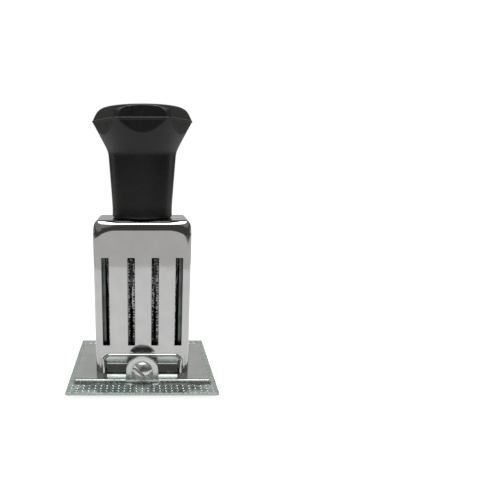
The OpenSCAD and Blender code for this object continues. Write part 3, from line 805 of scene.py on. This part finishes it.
def makeHandle():
    # the turned profile, cut by six flats that lean in below and above the rim, with a mould seam along it
    h = handleSize
    line = handleProfile()
    turn = np.linspace(0, 2 * math.pi, handleSteps["round"], endpoint=False)[None, :]
    r, z = line[:, :1] + 0 * turn, line[:, 1:]
    lean = np.tan(np.radians(np.where(z < h["rimZ"], h["tiltLow"], h["tiltHigh"])))
    part = math.pi / h["flats"]
    away = (h["cornerR"] + h["cornerRound"]) * math.cos(part) - lean * np.abs(z - h["rimZ"])
    flat = away / np.cos(turn % (2 * part) - part)
    radius = np.where(z > h["neckZ"], softMin(r, flat, h["ease"]), r)
    radius = radius + h["seam"] * np.exp(-((z - h["rimZ"]) / h["seamWide"]) ** 2)
    points = np.stack([radius * np.cos(turn), radius * np.sin(turn), z + 0 * turn], -1)
    faces = gridFaces(len(line), turn.size).tolist()
    last = (len(line) - 1) * turn.size
    faces += [list(range(turn.size))[::-1], list(range(last, last + turn.size))]
    return place(meshObject("handle_moulding", points, faces, handleBlack, h["sharp"]),
                 "stamp_body", "handle_black", "handle")


handle = makeHandle()
print("handle:", len(handle.data.polygons), "faces")


# type: each belt link carries a slug with its number in relief

beltSize = dict(sides=14, noseLinks=3, runLinks=9, half=9.55, low=1.6, thick=0.7, typeH=0.9)
typeSize = dict(foot=3.8, face=3.5, shoulder=0.08, bodyH=0.45, ease=0.12, margin=0.7, digitH=2.5,
                fontScale=1.42, stroke=0.03, curveSteps=3, digitRoom=0.5, digitStep=1.9, digitGap=0.15,
                sharp=30)
typeRows = dict(year=dict(x=-13.75, w=8.8, count=4), month=dict(x=-3.8, w=8.4, count=2),
                day=dict(x=5.75, w=8.0, count=2))
dateSize = dict(firstYear=2020, months=12, days=31)


def beltLinks():
    # middles and turns of the links: one at the foot, the flanks, the runs and the round top
    b = beltSize
    half = math.pi / b["sides"]
    pitch = 2 * b["half"] * math.sin(half)
    nose = math.acos((b["half"] - pitch / 2) / (b["noseLinks"] * pitch))
    up = [nose] * b["noseLinks"] + [math.pi / 2] * b["runLinks"]
    up += [math.pi / 2 + (2 * k - 1) * half for k in range(1, (b["sides"] // 2 - 1) // 2 + 1)]
    turns = np.array([0.0] + up + [math.pi] + [2 * math.pi - t for t in up[::-1]])
    steps = pitch * np.stack([np.cos(turns), np.sin(turns)], -1)
    ends = np.cumsum(steps, 0) + [-pitch / 2, b["low"]]
    return ends - steps / 2, turns


def digitShapes(deep):
    # each numeral as a mesh of its own, standing on the slug's face
    shapes = {}
    for mark in "0123456789":
        curve = bpy.data.curves.new("numeral", "FONT")
        curve.body = mark
        curve.align_x = "CENTER"
        curve.align_y = "CENTER"
        curve.size = typeSize["digitH"] * typeSize["fontScale"]
        curve.extrude = deep / 2
        curve.resolution_u = typeSize["curveSteps"]
        curve.offset = typeSize["stroke"]
        holder = bpy.data.objects.new("numeral", curve)
        bpy.context.scene.collection.objects.link(holder)
        mesh = bpy.data.meshes.new_from_object(holder.evaluated_get(bpy.context.evaluated_depsgraph_get()))
        points = np.empty(len(mesh.vertices) * 3)
        mesh.vertices.foreach_get("co", points)
        points = points.reshape(-1, 3)
        middle = (points.min(0) + points.max(0)) / 2
        shapes[mark] = (points - middle + [0, 0, deep / 2], [list(p.vertices) for p in mesh.polygons])
        bpy.data.objects.remove(holder)
        bpy.data.curves.remove(curve)
        bpy.data.meshes.remove(mesh)
    return shapes


def slugShape(w):
    # a low block with eased upper edges, given as three level outlines
    t = typeSize
    rows = [(w / 2, t["foot"] / 2, 0), (w / 2, t["face"] / 2 + t["shoulder"], t["bodyH"] - t["ease"]),
            (w / 2 - t["ease"], t["face"] / 2, t["bodyH"])]
    corners = np.array([(-1, -1, 1), (1, -1, 1), (1, 1, 1), (-1, 1, 1)])
    points = (np.array(rows)[:, None] * corners).reshape(-1, 3)
    return points, gridFaces(3, 4).tolist() + [[3, 2, 1, 0], [8, 9, 10, 11]]


def makeType(name, words):
    # a slug on the middle of each link, turned with it, and the word's numerals side by side on the slug
    row = typeRows[name]
    t, b = typeSize, beltSize
    mids, turns = beltLinks()
    width = row["w"] - 2 * t["margin"]
    middle = row["x"] + row["w"] / 2
    slug = slugShape(width)
    step = min((width - t["digitRoom"]) / row["count"], t["digitStep"])
    parts = []
    for mid, turn, word in zip(mids, turns, words):
        lots = [slug]
        for i, mark in enumerate(word):
            points, faces = numerals[mark]
            squeeze = min(1, (step - t["digitGap"]) / np.ptp(points[:, 0]))
            shift = (i - (len(word) - 1) / 2) * step
            lots.append((points * [squeeze, 1, 1] + [shift, 0, t["bodyH"]], faces))
        points, faces = joined(*lots)
        along = np.array([math.cos(turn), math.sin(turn)])
        out = np.array([math.sin(turn), -math.cos(turn)])
        yz = mid + points[:, 1:2] * along + (points[:, 2:3] + b["thick"]) * out
        parts.append((np.concatenate([points[:, :1] + middle, yz], 1), [f[::-1] for f in faces]))
    return place(meshObject(name + "_type_slugs", *joined(*parts), typeMetal, t["sharp"]),
                 "stamp_body", "type_metal", name + "_type")


numerals = digitShapes(beltSize["typeH"] - typeSize["bodyH"])
links = range(len(beltLinks()[1]))
makeType("year", [str(dateSize["firstYear"] + i) for i in links])
makeType("month", ["%02d" % (i % dateSize["months"] + 1) for i in links])
makeType("day", ["%02d" % (i + 1) if i < dateSize["days"] else "" for i in links])
print("type:", len(links), "slugs on each belt")


# finishes of all nodes, also of those that a piece stands for

finishes = dict(
    standoffs=turnedSteel, band_frame=cheekSteel, front_strap=frameSteel, rear_strap=frameSteel,
    anvil_bar=anvilZinc, anvil_rods=turnedSteel, roller_axle=turnedSteel, axle_rings=springSteel,
    handle_insert=insertBrass, handle_stud=turnedSteel, die_plate=zincPlate, saddle_plate=zincSheet,
    lug_screws=screwNickel, front_shell=chromeShell, rear_shell=chromeShell, handle=handleBlack)
for belt in typeRows:
    finishes.update({belt + "_roller": rollerPlastic, belt + "_discs": discSteel,
                     belt + "_belt": beltRubber, belt + "_type": typeMetal})
for name, material in finishes.items():
    nodes[name].data.materials.clear()
    nodes[name].data.materials.append(material)
print("finishes set on", len(finishes), "nodes")


# floor, light and camera

stageSize = dict(floor=4.0, floorSeen=0.65, floorMirrored=0.2, worldLight=0.4)
roomSize = dict(paper=255.0, middle=480.0, beyond=520.0, wall=900.0, wallGap=20.0, lift=0.5, lowest=0.5,
                open=69.0, grey=0.66, dim=0.12, dark=0.07, haze=0.26, back=0.46, skirt=0.62, soft=30.0,
                headSoft=8.0, capSoft=6.0, backFrom=110.0, backTo=140.0, cardFrom=120.0, cardSoft=20.0)
roomSteps = dict(near=16, far=6, rise=20, round=144)
# degrees from the front, right side positive; the table's reach; and how many degrees up the wall's foot is
# pale, the wall is dark, and it turns dark again
roomEdge = np.array([
    (-180, 255, -20, -10, 36), (-140, 300, -20, 20, 36), (-125, 600, 9, 36, 90), (-114, 520, 9, 32, 90),
    (-104, 460, -20, 20, 90), (-82, 500, -20, 14, 90), (-60, 520, -20, 12, 90), (-30, 520, -20, 18, 90),
    (-20, 560, -20, 30, 90), (-10, 650, -20, 52, 90), (0, 650, -20, 75, 90), (10, 650, -20, 75, 90),
    (20, 560, -20, 68, 90), (34, 480, -20, 46, 90), (50, 450, -20, 34, 90), (70, 420, -20, 26, 90),
    (90, 400, -20, 24, 90), (110, 520, 9, 32, 90), (125, 600, 9, 36, 90), (140, 300, -20, 20, 36),
    (180, 255, -20, -10, 36)])


def maths(tree, operation, first, second):
    # two values brought together by an operation
    node = feed(tree, newNode(tree, "Math"), {0: first, 1: second})
    node.operation = operation
    return node.outputs[0]


def rayLevel(tree, levels):
    # the highest level among the kinds of ray that look here, nought for all others
    path = newNode(tree, "LightPath")
    last, *rest = [maths(tree, "MULTIPLY", path.outputs[kind], level) for kind, level in levels.items()]
    for level in rest:
        last = maths(tree, "MAXIMUM", last, level)
    return last


def makeFloor():
    # a pale level square that glows a little where it is looked at, so that it shows as white paper
    size = stageSize["floor"] / mm
    mat, tree, shader = newMaterial("paleFloor")
    shades = [(0.3, (0.86, 0.86, 0.86)), (0.7, (0.88, 0.88, 0.88))]
    seen, mirrored = stageSize["floorSeen"], stageSize["floorMirrored"]
    glow = rayLevel(tree, {"Is Camera Ray": seen, "Is Transmission Ray": seen, "Is Glossy Ray": mirrored})
    feed(tree, shader, {"Base Color": ramp(tree, noise(tree, noiseScale["floor"]), shades), "Roughness": 0.9,
                        "Specular IOR Level": 0.0, "Emission Color": (*white, 1), "Emission Strength": glow})
    corners = np.array([(-size, -size, 0), (size, -size, 0), (size, size, 0), (-size, size, 0)])
    meshObject("floor", corners, [(0, 1, 2, 3)], mat)


def makeRoom():
    # what the gloss shows past the white paper: a grey table in front, a pale card behind, and a dark room
    # round them, as a level ring and a part of a ball whose glow is kept at each point
    s, steps = roomSize, roomSteps
    mat, tree, shader = newMaterial("darkRoom")
    level = newNode(tree, "Attribute")
    level.attribute_name = "level"
    feed(tree, shader, {"Base Color": (*black, 1), "Specular IOR Level": 0.0,
                        "Emission Color": (1, 0.985, 0.96, 1), "Emission Strength": level.outputs["Fac"]})
    rise = np.radians(np.linspace(s["lowest"], s["open"], steps["rise"]))
    ground = np.concatenate([np.linspace(s["paper"], s["middle"], steps["near"]),
                             np.linspace(s["beyond"], s["wall"] - s["wallGap"], steps["far"])])
    out = np.concatenate([ground, s["wall"] * np.cos(rise)])[:, None]
    up = np.concatenate([np.full(ground.size, s["lift"]), s["wall"] * np.sin(rise)])[:, None]
    turn = np.linspace(0, 2 * math.pi, steps["round"], endpoint=False)[None, :]
    points = np.stack([out * np.sin(turn), -out * np.cos(turn), up + 0 * turn], -1)
    side = (np.degrees(turn) + 180) % 360 - 180
    away = np.abs(side)
    reach, foot, head, cap = (np.interp(side, roomEdge[:, 0], row) for row in roomEdge[:, 1:].T)
    haze = np.interp(away, (s["backFrom"], s["backTo"]), (s["haze"], s["back"]))
    table = partWay(s["dim"], s["grey"], eased((reach - out) / s["soft"] + 0.5))
    table = partWay(table, haze, eased((away - s["cardFrom"]) / s["cardSoft"]))
    steep = np.degrees(np.arctan2(up, out))
    pale = eased((steep - head) / s["headSoft"] + 0.5) * eased((cap - steep) / s["capSoft"] + 0.5)
    wall = partWay(s["dark"], haze, pale)
    wall = partWay(wall, s["skirt"], eased((foot - steep) / s["capSoft"] + 0.5))
    glow = np.where(up > 2 * s["lift"], wall, table)
    room = meshObject("dark_room", points, gridFaces(*glow.shape).tolist(), mat)
    kept = room.data.attributes.new("level", "FLOAT", "POINT")
    kept.data.foreach_set("value", glow.ravel().astype(np.float32))
    room.visible_camera = False
    room.visible_diffuse = False
    room.visible_shadow = False


def makeWorld():
    # even light on things, and plain white where they are looked past
    world = bpy.data.worlds.new("studio")
    world.use_nodes = True
    tree = world.node_tree
    looked = rayLevel(tree, {"Is Camera Ray": 1, "Is Glossy Ray": 1, "Is Transmission Ray": 1})
    light = maths(tree, "MAXIMUM", looked, stageSize["worldLight"])
    feed(tree, tree.nodes["Background"], {"Color": (*white, 1), "Strength": light})
    bpy.context.scene.world = world


lampSize = dict(place=(0, 0.01, 0.75), watts=3.1, width=0.8, depth=0.58)  # metres


def makeLamp():
    # one oval soft box overhead, looking straight down
    lamp = bpy.data.lights.new("overhead", "AREA")
    lamp.shape = "ELLIPSE"
    lamp.size = lampSize["width"]
    lamp.size_y = lampSize["depth"]
    lamp.energy = lampSize["watts"]
    obj = bpy.data.objects.new("overhead", lamp)
    obj.location = lampSize["place"]
    bpy.context.scene.collection.objects.link(obj)


cameraSize = dict(place=(0, -206.1, 88.1), pitch=15.25, focal=495.5, centre=(142.22, 300.0), image=500,
                  sensor=36, nearest=0.01)


def makeCamera():
    # focal length and centre are in pixels of the photograph's frame
    c = cameraSize
    cam = bpy.data.cameras.new("camera")
    cam.sensor_width = c["sensor"]
    cam.sensor_fit = "HORIZONTAL"
    cam.lens = c["sensor"] * c["focal"] / c["image"]
    cam.shift_x = (c["image"] / 2 - c["centre"][0]) / c["image"]
    cam.shift_y = (c["centre"][1] - c["image"] / 2) / c["image"]
    cam.clip_start = c["nearest"]
    obj = bpy.data.objects.new("camera", cam)
    obj.location = [v * mm for v in c["place"]]
    obj.rotation_euler = (math.radians(90 - c["pitch"]), 0, 0)
    bpy.context.scene.collection.objects.link(obj)
    bpy.context.scene.camera = obj


makeFloor()
makeRoom()
makeWorld()
makeLamp()
makeCamera()
bpy.context.scene.view_settings.view_transform = "Standard"
print("stage ready")
